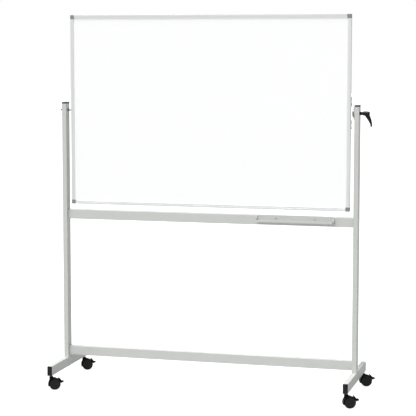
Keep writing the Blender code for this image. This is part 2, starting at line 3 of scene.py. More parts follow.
import bmesh
import bpy
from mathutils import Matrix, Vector


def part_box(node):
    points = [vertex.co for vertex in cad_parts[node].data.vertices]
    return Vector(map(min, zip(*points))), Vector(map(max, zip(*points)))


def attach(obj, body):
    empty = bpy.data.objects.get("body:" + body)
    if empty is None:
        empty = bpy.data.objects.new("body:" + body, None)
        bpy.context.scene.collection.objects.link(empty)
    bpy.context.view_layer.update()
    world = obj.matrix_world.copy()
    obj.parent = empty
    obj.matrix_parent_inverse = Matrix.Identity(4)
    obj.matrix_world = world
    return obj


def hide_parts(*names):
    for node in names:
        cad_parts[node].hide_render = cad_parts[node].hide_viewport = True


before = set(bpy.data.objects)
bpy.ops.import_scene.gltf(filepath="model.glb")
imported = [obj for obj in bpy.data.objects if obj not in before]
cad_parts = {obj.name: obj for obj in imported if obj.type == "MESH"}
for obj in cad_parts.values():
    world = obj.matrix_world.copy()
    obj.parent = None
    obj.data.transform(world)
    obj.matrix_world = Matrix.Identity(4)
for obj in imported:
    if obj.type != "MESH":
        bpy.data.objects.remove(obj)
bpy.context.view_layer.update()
sides = ("left", "right")
ends = ("front", "rear")
fitGap = 0.0003  # air between neighbouring pieces
print("frame loaded:", len(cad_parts), "nodes")


# small tools for working by hand in a script

def clearSelection():
    active = bpy.context.view_layer.objects.active
    if active and active.mode != 'OBJECT':
        bpy.ops.object.mode_set(mode='OBJECT')
    bpy.ops.object.select_all(action='DESELECT')


def makeActive(piece):
    clearSelection()
    piece.select_set(True)
    bpy.context.view_layer.objects.active = piece


def applyPlace(piece):
    makeActive(piece)
    bpy.ops.object.transform_apply(location=True, rotation=True, scale=True)


def editMode(piece):
    if piece.mode != 'EDIT':
        makeActive(piece)
        bpy.ops.object.mode_set(mode='EDIT')


def pick(piece, kind, test):
    # leaves the piece in edit mode with only what the test accepts selected
    editMode(piece)
    bpy.ops.mesh.select_mode(type=kind)
    bpy.ops.mesh.select_all(action='DESELECT')
    work = bmesh.from_edit_mesh(piece.data)
    if kind == 'FACE':
        for face in work.faces:
            face.select_set(bool(test(face.calc_center_median(), face.normal)))
    elif kind == 'EDGE':
        for edge in work.edges:
            edge.select_set(bool(test(edge.verts[0].co, edge.verts[1].co)))
    else:
        for vert in work.verts:
            vert.select_set(bool(test(vert.co)))
    work.select_flush_mode()
    bmesh.update_edit_mesh(piece.data)


def nudge(piece, rule):
    # moves each vertex to where the rule says
    editMode(piece)
    work = bmesh.from_edit_mesh(piece.data)
    for vert in work.verts:
        vert.co = rule(vert.co.copy())
    bmesh.update_edit_mesh(piece.data)


def bevelEdges(width, segments):
    bpy.ops.mesh.bevel(offset=width, segments=segments, affect='EDGES', clamp_overlap=False)


def pushOut(move):
    bpy.ops.mesh.extrude_region_move(TRANSFORM_OT_translate={"value": move})


def tidyMesh(piece):
    editMode(piece)
    bpy.ops.mesh.select_all(action='SELECT')
    bpy.ops.mesh.remove_doubles(threshold=1e-6)
    bpy.ops.mesh.normals_make_consistent(inside=False)
    bpy.ops.object.mode_set(mode='OBJECT')


def addBox(low, high):
    clearSelection()
    low, high = Vector(low), Vector(high)
    bpy.ops.mesh.primitive_cube_add(size=1, location=(low + high) / 2)
    piece = bpy.context.object
    piece.scale = high - low
    applyPlace(piece)
    return piece


def startVertex(place):
    # a single vertex in edit mode, ready to be drawn out
    clearSelection()
    bpy.ops.mesh.primitive_plane_add(size=0.001, location=place)
    piece = bpy.context.object
    applyPlace(piece)
    bpy.ops.object.mode_set(mode='EDIT')
    bpy.ops.mesh.select_mode(type='VERT')
    bpy.ops.mesh.select_all(action='SELECT')
    bpy.ops.mesh.merge(type='CENTER')
    return piece


def drawThrough(points):
    piece = startVertex(points[0])
    for here, after in zip(points, points[1:]):
        bpy.ops.mesh.extrude_vertices_move(TRANSFORM_OT_translate={"value": after - here})
    return piece


def addLathe(profile, centre, axis, steps=40):
    # profile holds (radius, distance along the axis) points, turned a full circle
    along = Vector(axis).normalized()
    across = along.orthogonal().normalized()
    centre = Vector(centre)
    piece = drawThrough([centre + across * r + along * h for r, h in profile])
    bpy.ops.mesh.select_all(action='SELECT')
    bpy.ops.mesh.spin(steps=steps, angle=math.tau, center=centre, axis=along)
    tidyMesh(piece)
    return piece


def addPin(radius, start, end, centre, axis, steps):
    # a plain round bar between two distances along its axis
    return addLathe([(0, start), (radius, start), (radius, end), (0, end)], centre, axis, steps)


def addPlate(outline, thickness, centre, right, up):
    # a flat outline in the plane of right and up, thickened equally both ways
    right, up = Vector(right).normalized(), Vector(up).normalized()
    out = right.cross(up)
    start = Vector(centre) - out * thickness / 2
    piece = drawThrough([start + right * x + up * y for x, y in outline])
    bpy.ops.mesh.select_all(action='SELECT')
    bpy.ops.mesh.edge_face_add()
    pushOut(out * thickness)
    tidyMesh(piece)
    return piece


def bevelPlateRims(piece, thickness, centre, out, width, segments=3):
    out, centre = Vector(out).normalized(), Vector(centre)

    def onFace(a, b):
        da, db = (a - centre).dot(out), (b - centre).dot(out)
        return abs(da - db) < 1e-5 and abs(abs(da) - thickness / 2) < 1e-5
    pick(piece, 'EDGE', onFace)
    bevelEdges(width, segments)


def applyModifier(piece, kind, **settings):
    makeActive(piece)
    modifier = piece.modifiers.new(kind.lower(), kind)
    for key, value in settings.items():
        setattr(modifier, key, value)
    bpy.ops.object.modifier_apply(modifier=modifier.name)


def combine(piece, operation, *tools):
    for tool in tools:
        clearSelection()
        applyModifier(piece, 'BOOLEAN', operation=operation, solver='EXACT', object=tool)
        bpy.data.objects.remove(tool)
    return piece


def arcPoints(radius, start, end, count, centre=(0, 0)):
    # angles in degrees
    points = []
    for i in range(count):
        angle = math.radians(start + (end - start) * i / (count - 1))
        points.append((centre[0] + radius * math.cos(angle), centre[1] + radius * math.sin(angle)))
    return points


def finishPiece(piece, name, body, materials, nodes=(), angle=32):
    tidyMesh(piece)
    applyPlace(piece)
    bpy.ops.object.shade_smooth_by_angle(angle=math.radians(angle))
    applyModifier(piece, 'WEIGHTED_NORMAL', keep_sharp=True, weight=80)
    piece.name = name
    piece.data.name = name
    if not piece.data.materials:
        for material in materials:
            piece.data.materials.append(finishes[material])
    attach(piece, body)
    if nodes:
        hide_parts(*nodes)
    return piece


# finishes

def setInputs(node, values):
    for key, value in values.items():
        node.inputs[key].default_value = value


def newGroup(name, inputs, outputs):
    group = bpy.data.node_groups.new(name, 'ShaderNodeTree')
    for label, kind, value in inputs:
        socket = group.interface.new_socket(name=label, in_out='INPUT', socket_type=kind)
        socket.default_value = value
    for label, kind in outputs:
        group.interface.new_socket(name=label, in_out='OUTPUT', socket_type=kind)
    return group, group.nodes.new("NodeGroupInput"), group.nodes.new("NodeGroupOutput")


def makeMouldedGrain():
    # fine grain of paint or moulded plastic, with slow cloudy change of tone
    group, source, result = newGroup(
        "mouldedGrain",
        [("Grain Scale", 'NodeSocketFloat', 900.0), ("Cloud Scale", 'NodeSocketFloat', 6.0)],
        [("Cloud", 'NodeSocketFloat'), ("Height", 'NodeSocketFloat'), ("Speckle", 'NodeSocketFloat')])
    nodes, links = group.nodes, group.links
    where = nodes.new("ShaderNodeTexCoord")
    cloud = nodes.new("ShaderNodeTexNoise")
    cloud.inputs["Detail"].default_value = 3.0
    grain = nodes.new("ShaderNodeTexNoise")
    grain.inputs["Detail"].default_value = 2.0
    pits = nodes.new("ShaderNodeTexVoronoi")
    double = nodes.new("ShaderNodeMath")
    double.operation = 'MULTIPLY'
    double.inputs[1].default_value = 1.7
    speckle = nodes.new("ShaderNodeMapRange")
    setInputs(speckle, {"From Min": 0.0, "From Max": 0.55})
    for texture in (cloud, grain, pits):
        links.new(where.outputs["Object"], texture.inputs["Vector"])
    links.new(source.outputs["Cloud Scale"], cloud.inputs["Scale"])
    links.new(source.outputs["Grain Scale"], grain.inputs["Scale"])
    links.new(source.outputs["Grain Scale"], double.inputs[0])
    links.new(double.outputs[0], pits.inputs["Scale"])
    links.new(pits.outputs["Distance"], speckle.inputs["Value"])
    links.new(cloud.outputs["Fac"], result.inputs["Cloud"])
    links.new(grain.outputs["Fac"], result.inputs["Height"])
    links.new(speckle.outputs["Result"], result.inputs["Speckle"])
    return group


def makeBrushedLines():
    # long fine scratches along the direction that is stretched least
    group, source, result = newGroup(
        "brushedLines",
        [("Stretch", 'NodeSocketVector', (1.0, 1.0, 1.0)), ("Fineness", 'NodeSocketFloat', 1.0)],
        [("Lines", 'NodeSocketFloat')])
    nodes, links = group.nodes, group.links
    where = nodes.new("ShaderNodeTexCoord")
    pull = nodes.new("ShaderNodeVectorMath")
    pull.operation = 'MULTIPLY'
    lines = nodes.new("ShaderNodeTexNoise")
    lines.inputs["Detail"].default_value = 4.0
    links.new(where.outputs["Object"], pull.inputs[0])
    links.new(source.outputs["Stretch"], pull.inputs[1])
    links.new(pull.outputs[0], lines.inputs["Vector"])
    links.new(source.outputs["Fineness"], lines.inputs["Scale"])
    links.new(lines.outputs["Fac"], result.inputs["Lines"])
    return group


mouldedGrain = makeMouldedGrain()
brushedLines = makeBrushedLines()


def startMaterial(name, metallic=0.0, specular=0.5):
    material = bpy.data.materials.new(name)
    material.use_nodes = True
    shader = material.node_tree.nodes["Principled BSDF"]
    setInputs(shader, {"Metallic": metallic, "Specular IOR Level": specular})
    return material, material.node_tree, shader


def linkTone(tree, fac, low, high, socket):
    mix = tree.nodes.new("ShaderNodeMix")
    mix.data_type = 'RGBA'
    setInputs(mix, {"A": (*low, 1.0), "B": (*high, 1.0)})
    tree.links.new(fac, mix.inputs["Factor"])
    tree.links.new(mix.outputs["Result"], socket)


def linkRange(tree, value, low, high, socket):
    span = tree.nodes.new("ShaderNodeMapRange")
    setInputs(span, {"From Min": 0.3, "From Max": 0.7, "To Min": low, "To Max": high})
    tree.links.new(value, span.inputs["Value"])
    tree.links.new(span.outputs["Result"], socket)


def linkBump(tree, height, strength, distance, shader):
    bump = tree.nodes.new("ShaderNodeBump")
    setInputs(bump, {"Strength": strength, "Distance": distance})
    tree.links.new(height, bump.inputs["Height"])
    tree.links.new(bump.outputs["Normal"], shader.inputs["Normal"])


def grainFinish(name, look):
    material, tree, shader = startMaterial(name, specular=look.get("specular", 0.5))
    grain = tree.nodes.new("ShaderNodeGroup")
    grain.node_tree = mouldedGrain
    setInputs(grain, {"Grain Scale": look["grainScale"],
              "Cloud Scale": look.get("cloudScale", 5.0)})
    linkTone(tree, grain.outputs["Cloud"], look["dark"], look["light"], shader.inputs["Base Color"])
    linkRange(tree, grain.outputs["Cloud"], look["rough"][0], look["rough"][1],
              shader.inputs["Roughness"])
    linkBump(tree, grain.outputs["Speckle" if look.get("pitted") else "Height"], look["bump"],
             look["depth"], shader)
    return material


def brushedFinish(name, look):
    material, tree, shader = startMaterial(name, metallic=1.0)
    brushed = tree.nodes.new("ShaderNodeGroup")
    brushed.node_tree = brushedLines
    brushed.inputs["Stretch"].default_value = look["stretch"]
    linkTone(tree, brushed.outputs["Lines"], look["dark"], look["light"], shader.inputs["Base Color"])
    linkRange(tree, brushed.outputs["Lines"], look["rough"][0], look["rough"][1],
              shader.inputs["Roughness"])
    linkBump(tree, brushed.outputs["Lines"], look["bump"], look["depth"], shader)
    return material


finishLooks = {
    "greyPaint": {"dark": (0.522, 0.536, 0.514), "light": (0.560, 0.574, 0.552), "grainScale": 700,
                  "rough": (0.36, 0.46), "bump": 0.12, "depth": 0.0004},
    "darkCap": {"dark": (0.082, 0.084, 0.088), "light": (0.106, 0.108, 0.112), "grainScale": 2200,
                "rough": (0.42, 0.55), "bump": 0.20, "depth": 0.0002, "pitted": True,
                "specular": 0.3},
    # rim tone darker than the face: painted shade on the rail caps' edges
    "blackCapRimPaintedShade": {"dark": (0.005, 0.006, 0.005), "light": (0.008, 0.009, 0.008),
                    "grainScale": 1500, "rough": (0.34, 0.44), "bump": 0.08, "depth": 0.0002,
                    "specular": 0.12},
    "blackCapFace": {"dark": (0.016, 0.017, 0.016), "light": (0.022, 0.023, 0.022),
                     "grainScale": 2600, "rough": (0.48, 0.60), "bump": 0.25, "depth": 0.0002,
                     "pitted": True, "specular": 0.15},
    "cornerGrey": {"dark": (0.200, 0.240, 0.228), "light": (0.245, 0.290, 0.275),
                   "grainScale": 2000, "rough": (0.42, 0.55), "bump": 0.20, "depth": 0.0002,
                   "pitted": True, "specular": 0.35},
    "trayGrey": {"dark": (0.500, 0.512, 0.500), "light": (0.545, 0.556, 0.542),
                 "grainScale": 1200, "rough": (0.30, 0.40), "bump": 0.10, "depth": 0.0002},
    "housingBlack": {"dark": (0.0020, 0.0020, 0.0020), "light": (0.0040, 0.0040, 0.0040),
                     "grainScale": 2200, "rough": (0.38, 0.50), "bump": 0.15, "depth": 0.0002,
                     "pitted": True, "specular": 0.08},
    "discBlack": {"dark": (0.0150, 0.0150, 0.0150), "light": (0.0180, 0.0180, 0.0180),
                  "grainScale": 1800, "rough": (0.50, 0.62), "bump": 0.10, "depth": 0.0002,
                  "specular": 0.12},
    "treadBlack": {"dark": (0.0060, 0.0060, 0.0060), "light": (0.0095, 0.0095, 0.0095),
                   "grainScale": 1500, "rough": (0.46, 0.62), "bump": 0.20, "depth": 0.0003,
                   "specular": 0.08},
    "leverBlack": {"dark": (0.0040, 0.0040, 0.0040), "light": (0.0070, 0.0070, 0.0070),
                   "grainScale": 2600, "rough": (0.36, 0.48), "bump": 0.22, "depth": 0.0002,
                   "pitted": True, "specular": 0.25},
    "nylonGrey": {"dark": (0.22, 0.22, 0.21), "light": (0.27, 0.27, 0.26), "grainScale": 1500,
                  "rough": (0.40, 0.50), "bump": 0.10, "depth": 0.0002},
    "frictionFibre": {"dark": (0.26, 0.22, 0.19), "light": (0.40, 0.35, 0.31), "grainScale": 1400,
                      "cloudScale": 300, "rough": (0.75, 0.9), "bump": 0.5, "depth": 0.0003},
    "fibreBoard": {"dark": (0.40, 0.31, 0.20), "light": (0.60, 0.49, 0.35), "grainScale": 500,
                   "cloudScale": 220, "rough": (0.8, 0.95), "bump": 0.5, "depth": 0.0006},
    "whiteEnamel": {"dark": (0.925, 0.928, 0.930), "light": (0.945, 0.946, 0.945),
                    "grainScale": 60, "cloudScale": 1.6, "rough": (0.13, 0.19), "bump": 0.02,
                    "depth": 0.0006},
}
brushedLooks = {
    "aluminiumAcross": {"stretch": (6.0, 2500.0, 2500.0), "dark": (0.745, 0.755, 0.765),
                        "light": (0.845, 0.850, 0.855), "rough": (0.46, 0.58), "bump": 0.10,
                        "depth": 0.0002},
    "aluminiumUpright": {"stretch": (2500.0, 2500.0, 6.0), "dark": (0.745, 0.755, 0.765),
                         "light": (0.845, 0.850, 0.855), "rough": (0.46, 0.58), "bump": 0.10,
                         "depth": 0.0002},
    "zincPlate": {"stretch": (700.0, 700.0, 700.0), "dark": (0.42, 0.41, 0.39),
                  "light": (0.60, 0.58, 0.55), "rough": (0.28, 0.42), "bump": 0.15,
                  "depth": 0.0002},
    "darkSteel": {"stretch": (700.0, 700.0, 700.0), "dark": (0.150, 0.150, 0.146),
                  "light": (0.230, 0.228, 0.222), "rough": (0.32, 0.46), "bump": 0.15,
                  "depth": 0.0002},
}
finishes = {name: grainFinish(name, look) for name, look in finishLooks.items()}
finishes.update({name: brushedFinish(name, look) for name, look in brushedLooks.items()})
print("finishes made:", len(finishes))


# camera, floor and light

view = {"place": (2.0366, -7.6052, 1.8261), "pitch": 6.083, "turn": 15.192, "lens": 131.3,
        "sensor": 36, "shiftX": 0.00252, "shiftY": -0.01394, "clipEnd": 200}


def addCamera():
    clearSelection()
    aim = (math.radians(90 - view["pitch"]), 0, math.radians(view["turn"]))
    bpy.ops.object.camera_add(location=view["place"], rotation=aim)
    camera = bpy.context.object
    camera.data.lens = view["lens"]
    camera.data.sensor_width = view["sensor"]
    camera.data.shift_x = view["shiftX"]
    camera.data.shift_y = view["shiftY"]
    camera.data.clip_end = view["clipEnd"]
    bpy.context.scene.camera = camera


studio = {"floorSize": 90.0, "floorDrop": 0.0004, "floorTone": (0.28, 0.30), "floorGlow": 0.30,
          "floorSeen": 0.85, "backdrop": 1.0,
          # world brightness from the front, round the side, to the back
          "surround": ((0.0, 1.00), (0.22, 0.72), (0.42, 0.21), (0.60, 0.16), (1.0, 0.65)),
          "sunFrom": (-0.30, -0.30, 1.38), "sunPower": 4.3, "sunSpread": 24}


def addFloor():
    clearSelection()
    bpy.ops.mesh.primitive_grid_add(x_subdivisions=8, y_subdivisions=8, size=studio["floorSize"],
                                    location=(0, 0, -studio["floorDrop"]))
    floor = bpy.context.object
    applyPlace(floor)
    floor.name = "studio_floor"
    material, tree, shader = startMaterial("paleFloor", specular=0.05)
    noise = tree.nodes.new("ShaderNodeTexNoise")
    noise.inputs["Scale"].default_value = 2.0
    dark, light = studio["floorTone"]
    linkTone(tree, noise.outputs["Fac"], (dark, dark, dark), (light, light, light),
             shader.inputs["Base Color"])
    setInputs(shader, {"Roughness": 0.9, "Emission Color": (1, 1, 1, 1)})
    path = tree.nodes.new("ShaderNodeLightPath")
    glow = tree.nodes.new("ShaderNodeMapRange")
    setInputs(glow, {"To Min": studio["floorGlow"], "To Max": studio["floorSeen"]})
    tree.links.new(path.outputs["Is Camera Ray"], glow.inputs["Value"])
    tree.links.new(glow.outputs["Result"], shader.inputs["Emission Strength"])
    floor.data.materials.append(material)


def addLights():
    world = bpy.data.worlds.new("studio")
    bpy.context.scene.world = world
    world.use_nodes = True
    nodes, links = world.node_tree.nodes, world.node_tree.links
    where = nodes.new("ShaderNodeTexCoord")
    split = nodes.new("ShaderNodeSeparateXYZ")
    share = nodes.new("ShaderNodeMapRange")
    setInputs(share, {"From Min": -1.0, "From Max": 1.0})
    around = nodes.new("ShaderNodeValToRGB")
    ramp = around.color_ramp
    while len(ramp.elements) < len(studio["surround"]):
        ramp.elements.new(0.5)
    for stop, (place, bright) in zip(ramp.elements, studio["surround"]):
        stop.position = place
        stop.color = (bright, bright, bright, 1)
    soft = nodes["Background"]
    seen = nodes.new("ShaderNodeBackground")
    setInputs(seen, {"Color": (1, 1, 1, 1), "Strength": studio["backdrop"]})
    path = nodes.new("ShaderNodeLightPath")
    choose = nodes.new("ShaderNodeMixShader")
    links.new(where.outputs["Generated"], split.inputs[0])
    links.new(split.outputs["Y"], share.inputs["Value"])
    links.new(share.outputs["Result"], around.inputs["Fac"])
    links.new(around.outputs["Color"], soft.inputs["Color"])
    links.new(path.outputs["Is Camera Ray"], choose.inputs["Fac"])
    links.new(soft.outputs[0], choose.inputs[1])
    links.new(seen.outputs[0], choose.inputs[2])
    links.new(choose.outputs[0], nodes["World Output"].inputs["Surface"])
    clearSelection()
    bpy.ops.object.light_add(type='SUN', location=(0, 0, 5))
    sun = bpy.context.object
    sun.data.energy = studio["sunPower"]
    sun.data.angle = math.radians(studio["sunSpread"])
    sun.rotation_euler = (-Vector(studio["sunFrom"])).to_track_quat('-Z', 'Y').to_euler()


addCamera()
addFloor()
addLights()
bpy.context.scene.view_settings.view_transform = 'Standard'
bpy.context.scene.view_settings.look = 'None'
print("studio set")


# stand: tubes, caps and tray

tube = {"radius": 0.0025, "wall": 0.0015, "segments": 4}


def roundLongEdges(piece, along, radius, segments):
    pick(piece, 'EDGE', lambda a, b: abs((a - b)[along]) > 0.002)
    bevelEdges(radius, segments)


def addTube(node, along):
    low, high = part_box(node)
    piece = addBox(low, high)
    roundLongEdges(piece, along, tube["radius"], tube["segments"])
    pick(piece, 'FACE', lambda c, n: abs(n[along]) > 0.9)
    bpy.ops.mesh.inset(thickness=tube["wall"], use_individual=True)
    bpy.ops.mesh.bridge_edge_loops()
    bpy.ops.object.mode_set(mode='OBJECT')
    return piece


# radii of the holes that pins, axles and screws pass through
bores = {"pivot": 0.0043, "axle": 0.0033, "screw": 0.0023}


def boreThrough(piece, centre, axis, radius, length):
    cutter = addPin(radius, -length / 2, length / 2, centre, axis, 32)
    combine(piece, 'DIFFERENCE', cutter)


def makeStandTubes():
    pivotZ = (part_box("pivot_pin")[0].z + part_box("pivot_pin")[1].z) / 2
    for side in sides:
        post = addTube("post_" + side, 2)
        low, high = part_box("post_" + side)
        middle = (low + high) / 2
        boreThrough(post, (middle.x, middle.y, pivotZ), (1, 0, 0), bores["pivot"], 0.05)
        finishPiece(post, "post_tube_" + side, "stand", ["greyPaint"],
                    ["post_" + side])
        rail = addTube("foot_rail_" + side, 1)
        finishPiece(rail, "foot_rail_tube_" + side, "stand", ["greyPaint"],
                    ["foot_rail_" + side])
    for level in ("upper", "lower"):
        bar = addTube("crossbar_" + level, 0)
        finishPiece(bar, f"crossbar_{level}_tube", "stand", ["greyPaint"],
                    ["crossbar_" + level])
    print("stand tubes made")


postCap = {"flange": 0.009, "crown": 0.0010, "wallGap": 0.0018}


def makePostCaps():
    for side in sides:
        low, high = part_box("post_cap_" + side)
        flangeLow = high.z - postCap["flange"]
        cap = addBox((low.x, low.y, flangeLow), high)
        roundLongEdges(cap, 2, tube["radius"], tube["segments"])
        pick(cap, 'FACE', lambda c, n: n.z < -0.9)
        bpy.ops.mesh.inset(thickness=postCap["wallGap"])
        pushOut((0, 0, low.z - flangeLow))
        top = high.z
        pick(cap, 'EDGE', lambda a, b: a.z > top - 1e-5 and b.z > top - 1e-5)
        bevelEdges(postCap["crown"], 4)
        finishPiece(cap, "post_top_cap_" + side, "stand", ["darkCap"],
                    ["post_cap_" + side])


railCap = {"flange": 0.0035, "rim": 0.0042, "edge": 0.0012, "recess": 0.0005, "wallGap": 0.0018}


def makeRailCaps():
    for side in sides:
        for end, out in (("front", -1), ("rear", 1)):
            node = f"rail_cap_{side}_{end}"
            low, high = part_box(node)
            face = low.y if out < 0 else high.y
            back = face - out * railCap["flange"]
            depth = high.y - low.y - railCap["flange"]
            cap = addBox((low.x, min(face, back), low.z), (high.x, max(face, back), high.z))
            roundLongEdges(cap, 1, tube["radius"], tube["segments"])
            pick(cap, 'FACE', lambda c, n: n.y * out < -0.9)
            bpy.ops.mesh.inset(thickness=railCap["wallGap"])
            pushOut((0, -out * depth, 0))
            pick(cap, 'EDGE', lambda a, b: abs(a.y - face) < 1e-5 and abs(b.y - face) < 1e-5)
            bevelEdges(railCap["edge"], 4)
            # the matt panel let into the glossier rim, whose darker colour is painted shade on the
            # cap's edges
            pick(cap, 'FACE', lambda c, n: n.y * out > 0.95 and abs(c.y - face) < 1e-5)
            bpy.ops.mesh.inset(thickness=railCap["rim"] - railCap["edge"])
            pushOut((0, -out * railCap["recess"], 0))
            for material in ("blackCapRimPaintedShade", "blackCapFace"):
                cap.data.materials.append(finishes[material])
            cap.active_material_index = 1
            bpy.ops.object.material_slot_assign()
            finishPiece(cap, f"rail_end_cap_{side}_{end}", "stand", [], [node])
    print("caps made")


tray = {"wall": 0.0016, "corner": 0.008, "lip": 0.011, "edge": 0.0005, "curve": 1.5, "cuts": 7,
        "screwShares": (0.25, 0.75), "screwHeight": 0.020, "screwScale": 0.9}


def makePenTray():
    low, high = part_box("pen_tray")
    piece = addBox(low, high)
    pick(piece, 'EDGE', lambda a, b: abs((a - b).z) > 0.01 and a.y < low.y + 1e-4)
    bevelEdges(tray["corner"], 6)
    pick(piece, 'FACE', lambda c, n: n.z > 0.9)
    bpy.ops.mesh.inset(thickness=tray["wall"])
    depth = high.z - low.z - tray["wall"]
    pushOut((0, 0, -depth))
    # extra edges across the end walls, for their slope
    for i in range(1, tray["cuts"]):
        editMode(piece)
        bpy.ops.mesh.select_all(action='SELECT')
        y = high.y - tray["wall"] - (high.y - low.y - tray["corner"] - tray["wall"]) * i / tray["cuts"]
        bpy.ops.mesh.bisect(plane_co=(0, y, 0), plane_no=(0, 1, 0), use_fill=False)
    back = high.y - tray["wall"] - 1e-5
    reach = back - low.y

    def slope(co):
        if co.z > high.z - 1e-4 and co.y < back:
            share = min(1.0, (back - co.y) / (reach * 0.8))
            co.z = low.z + tray["lip"] + (high.z - low.z - tray["lip"]) * (1 - share) ** tray["curve"]
        return co
    nudge(piece, slope)
    # soft edges along the front
    pick(piece, 'EDGE', lambda a, b: abs(a.z - b.z) < 1e-6 and abs(a.y - low.y) < 1e-5
         and abs(b.y - low.y) < 1e-5)
    bevelEdges(tray["edge"], 3)
    finishPiece(piece, "pen_tray_moulding", "stand", ["trayGrey"],
                ["pen_tray"])


makeStandTubes()
makePostCaps()
makeRailCaps()
makePenTray()


# board: aluminium edges, corners and panel

edge = {"outer": 0.0004, "step": 0.0085, "slope": 0.0004, "drop": 0.0009, "face": 0.0175,
        "wall": 0.003, "groove": 0.008, "soft": 0.0002, "bushHole": 0.0058}


def makeBoardEdges():
    for name, along in (("top", 0), ("bottom", 0), ("left", 2), ("right", 2)):
        node = "edge_" + name
        low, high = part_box(node)
        across = 2 - along
        inward = -1 if name in ("top", "right") else 1
        outer = low[across] if inward > 0 else high[across]
        half = (high.y - low.y) / 2
        right = Vector((0, 0, 0))
        right[across] = inward
        up = Vector((0, 1, 0))
        face, drop, r, soft = edge["face"], edge["drop"], edge["outer"], edge["soft"]
        step, foot = edge["step"], edge["step"] + edge["slope"]
        wall, groove = edge["wall"], edge["groove"]
        # a flat outer band, a slope down, then a lower flat band that grips the panel
        outline = arcPoints(r, 180, 270, 5, (r, r - half))
        outline += [(step, -half), (foot, drop - half), (face - soft, drop - half),
                    (face, drop + soft - half), (face, -groove), (wall, -groove), (wall, groove),
                    (face, groove), (face, half - drop - soft), (face - soft, half - drop),
                    (foot, half - drop), (step, half)]
        outline += arcPoints(r, 90, 180, 5, (r, half - r))
        centre = Vector((0, 0, 0))
        centre[along] = (low[along] + high[along]) / 2
        centre[across] = outer
        piece = addPlate(outline, high[along] - low[along], centre, right, up)
        if name == "left":
            bush = (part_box("pivot_bush")[0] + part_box("pivot_bush")[1]) / 2
            boreThrough(piece, (outer, bush.y, bush.z), (1, 0, 0), edge["bushHole"], 0.02)
        material = "aluminiumAcross" if along == 0 else "aluminiumUpright"
        finishPiece(piece, "edge_profile_" + name, "board", [material], [node], 20)
    print("board edges made")


corner = {"radius": 0.004, "edge": 0.0012, "rim": 0.0026, "sink": 0.0004,
          "slotHalf": 0.008}


def makeCorners():
    for name in ("top_left", "top_right", "bottom_left", "bottom_right"):
        node = "corner_" + name
        low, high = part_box(node)
        sx = -1 if "left" in name else 1
        sz = 1 if "top" in name else -1
        outX = high.x if sx > 0 else low.x
        outZ = high.z if sz > 0 else low.z
        piece = addBox(low, high)
        pick(piece, 'EDGE', lambda a, b: abs((a - b).y) > 0.01 and abs(a.x - outX) < 1e-5
             and abs(a.z - outZ) < 1e-5)
        bevelEdges(corner["radius"], 8)
        for face in (low.y, high.y):
            pick(piece, 'EDGE', lambda a, b: abs(a.y - face) < 1e-6 and abs(b.y - face) < 1e-6)
            bevelEdges(corner["edge"], 4)
            pick(piece, 'FACE', lambda c, n: abs(c.y - face) < 1e-6 and abs(n.y) > 0.9)
            bpy.ops.mesh.inset(thickness=corner["rim"])
            pushOut((0, corner["sink"] if face == low.y else -corner["sink"], 0))
        # the slot that the panel slides into
        sheet, rear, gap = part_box("sheet_front"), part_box("sheet_rear"), fitGap
        slot = addBox((sheet[0].x - gap, -corner["slotHalf"], sheet[0].z - gap),
                      (rear[1].x + gap, corner["slotHalf"], rear[1].z + gap))
        combine(piece, 'DIFFERENCE', slot)
        finishPiece(piece, "corner_cap_" + name, "board", ["cornerGrey"],
                    [node])
    print("corners made")


def keepNode(node, material):
    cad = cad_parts[node]
    cad.data.materials.clear()
    cad.data.materials.append(finishes[material])


makeBoardEdges()
makeCorners()
for node in ("sheet_front", "sheet_rear"):
    keepNode(node, "whiteEnamel")
keepNode("board_core", "fibreBoard")


# casters

caster = {"turn": 20, "trail": 0.0185, "wheelR": 0.030, "gap": 0.010, "wheelWidth": 0.0115,
          "discR": 0.0263, "hoodIn": 0.0308, "hoodOut": 0.0322, "hoodOffset": (-0.0034, 0.0003),
          "hoodStart": 84, "hoodEnd": 202, "webR": 0.0314, "webHalf": 0.0022, "neckR": 0.0105,
          "neckTop": 0.041, "columnR": 0.0046, "columnLow": 0.0105, "stemBore": (0.0140, 0.0430),
          "hubEyeR": 0.011, "pivot": (0.018, 0.0165), "pinR": 0.003, "eyeR": 0.005,
          "pedalIn": 0.0314, "pedalWidth": 0.028, "ear": 0.002, "soft": 0.0007}


def casterAxes(name):
    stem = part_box(name + "_stem")
    place = Vector(((stem[0].x + stem[1].x) / 2, (stem[0].y + stem[1].y) / 2, 0))
    angle = math.radians(caster["turn"])
    trail = Vector((math.cos(angle), math.sin(angle), 0))
    wheelAxis = Vector((-math.sin(angle), math.cos(angle), 0))
    hub = place + trail * caster["trail"] + Vector((0, 0, caster["wheelR"]))
    return place, trail, wheelAxis, hub


